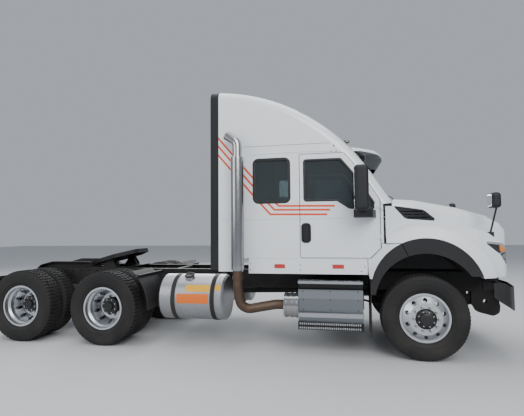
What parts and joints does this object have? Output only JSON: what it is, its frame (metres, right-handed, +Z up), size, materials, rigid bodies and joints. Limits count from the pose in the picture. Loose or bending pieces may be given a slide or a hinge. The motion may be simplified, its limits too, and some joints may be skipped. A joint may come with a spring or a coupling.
{
  "type": "semi truck tractor unit",
  "caption": "Conventional road tractor unit with tilting bonnet, high-roof sleeper cab, steered front axle, two driven axles with twin wheels and a tilting coupling plate.",
  "frame": {"origin": "on the road under the middle of the bounding box", "axes": "+X forward towards the bumper, +Y to the driver's left, +Z up"},
  "size_m": [7.4161, 3.1, 3.6945],
  "materials": {
    "white_paint": "glossy white enamel with three orange-red stripes",
    "frame_black": "satin black chassis paint",
    "black_plastic": "moulded, fine grain",
    "tyre": "worn rubber",
    "wheel_alloy": "forged and polished",
    "tank_alloy": "polished with dull spots",
    "glass": "tinted",
    "bright_steel": "bright, lightly stained",
    "step_steel": "brushed",
    "pipe_steel": "heat tinted",
    "lamp": "clear lens over chrome",
    "red_lamp": "red lens",
    "cab_plastic": "grained grey trim",
    "seat_cloth": "woven grey cloth"
  },
  "bodies": {
    "chassis": {"frame_rails": "frame_black", "crossmembers": "frame_black", "front_axle": "frame_black", "suspension": "frame_black", "drive_axles": "frame_black", "engine": "frame_black", "radiator": "frame_black", "bumper": "black_plastic", "cab_body": "white_paint", "cab_floor": "white_paint", "cab_rear_wall": "white_paint", "roof_fairing": "white_paint", "cab_glass": "glass", "extenders": "white_paint", "extender_seals": "black_plastic", "sun_visor": "black_plastic", "dashboard": "cab_plastic", "cab_bases": "cab_plastic", "seats": "seat_cloth", "bunk": "seat_cloth", "sill_panels": "white_paint", "wing_tails": "white_paint", "mud_guards": "black_plastic", "fuel_tanks": "tank_alloy", "tank_straps": "frame_black", "step_boxes": "step_steel", "exhaust_pipe": "pipe_steel", "exhaust_can": "bright_steel", "exhaust_stack": "bright_steel", "coupling_mount": "frame_black", "tail_lamps": "red_lamp"},
    "bonnet": {"bonnet": "white_paint", "bonnet_flares": "black_plastic", "grilles": "black_plastic", "headlamps": "lamp", "bonnet_mirrors": "black_plastic"},
    "door_left": {"door_left": "white_paint", "door_glass_left": "glass", "door_fittings_left": "black_plastic"},
    "door_right": {"door_right": "white_paint", "door_glass_right": "glass", "door_fittings_right": "black_plastic"},
    "knuckle_left": {"knuckle_left": "frame_black"},
    "knuckle_right": {"knuckle_right": "frame_black"},
    "tie_rod": {"tie_rod": "frame_black"},
    "coupling_plate": {"coupling_plate": "frame_black"},
    "wheel_front_left": {"wheel_front_left": "wheel_alloy", "tyre_front_left": "tyre"},
    "wheels_drive_1_left": {"wheels_drive_1_left": "wheel_alloy", "tyres_drive_1_left": "tyre"},
    "wheels_drive_2_left": {"wheels_drive_2_left": "wheel_alloy", "tyres_drive_2_left": "tyre"},
    "wheel_front_right": {"wheel_front_right": "wheel_alloy", "tyre_front_right": "tyre"},
    "wheels_drive_1_right": {"wheels_drive_1_right": "wheel_alloy", "tyres_drive_1_right": "tyre"},
    "wheels_drive_2_right": {"wheels_drive_2_right": "wheel_alloy", "tyres_drive_2_right": "tyre"}
  },
  "joints": [
    {"name": "bonnet_tilt", "type": "hinge", "parent": "chassis", "child": "bonnet", "pos_m": [3.621, 0, 0.985], "axis": [0, 1, 0], "range_deg": [0, 55]},
    {"name": "door_left_swing", "type": "hinge", "parent": "chassis", "child": "door_left", "pos_m": [2.083, 1.099, 1.9], "axis": [0, 0, -1], "range_deg": [0, 70]},
    {"name": "door_right_swing", "type": "hinge", "parent": "chassis", "child": "door_right", "pos_m": [2.083, -1.099, 1.9], "axis": [0, 0, 1], "range_deg": [0, 70]},
    {"name": "steer_left", "type": "hinge", "parent": "chassis", "child": "knuckle_left", "pos_m": [2.561, 0.86, 0.52], "axis": [0, 0, 1], "range_deg": [-35, 35]},
    {"name": "steer_right", "type": "hinge", "parent": "chassis", "child": "knuckle_right", "pos_m": [2.561, -0.86, 0.52], "axis": [0, 0, 1], "range_deg": [-35, 35]},
    {"name": "tie_rod_pivot", "type": "hinge", "parent": "knuckle_left", "child": "tie_rod", "pos_m": [2.361, 0.86, 0.395], "axis": [0, 0, 1], "range_deg": [-35, 35]},
    {"name": "wheel_front_left_spin", "type": "hinge", "parent": "knuckle_left", "child": "wheel_front_left", "pos_m": [2.561, 1.034, 0.52], "axis": [0, 1, 0], "continuous": true},
    {"name": "wheel_front_right_spin", "type": "hinge", "parent": "knuckle_right", "child": "wheel_front_right", "pos_m": [2.561, -1.034, 0.52], "axis": [0, 1, 0], "continuous": true},
    {"name": "coupling_tilt", "type": "hinge", "parent": "chassis", "child": "coupling_plate", "pos_m": [-2.159, 0, 1.13], "axis": [0, 1, 0], "range_deg": [0, 25]},
    {"name": "wheels_drive_1_left_spin", "type": "hinge", "parent": "chassis", "child": "wheels_drive_1_left", "pos_m": [-1.769, 0.9025, 0.52], "axis": [0, 1, 0], "continuous": true},
    {"name": "wheels_drive_2_left_spin", "type": "hinge", "parent": "chassis", "child": "wheels_drive_2_left", "pos_m": [-3.114, 0.9025, 0.52], "axis": [0, 1, 0], "continuous": true},
    {"name": "wheels_drive_1_right_spin", "type": "hinge", "parent": "chassis", "child": "wheels_drive_1_right", "pos_m": [-1.769, -0.9025, 0.52], "axis": [0, 1, 0], "continuous": true},
    {"name": "wheels_drive_2_right_spin", "type": "hinge", "parent": "chassis", "child": "wheels_drive_2_right", "pos_m": [-3.114, -0.9025, 0.52], "axis": [0, 1, 0], "continuous": true}
  ],
  "couplings": [
    {"joint": "steer_right", "follows": "steer_left", "ratio": 1},
    {"joint": "tie_rod_pivot", "follows": "steer_left", "ratio": -1}
  ]
}
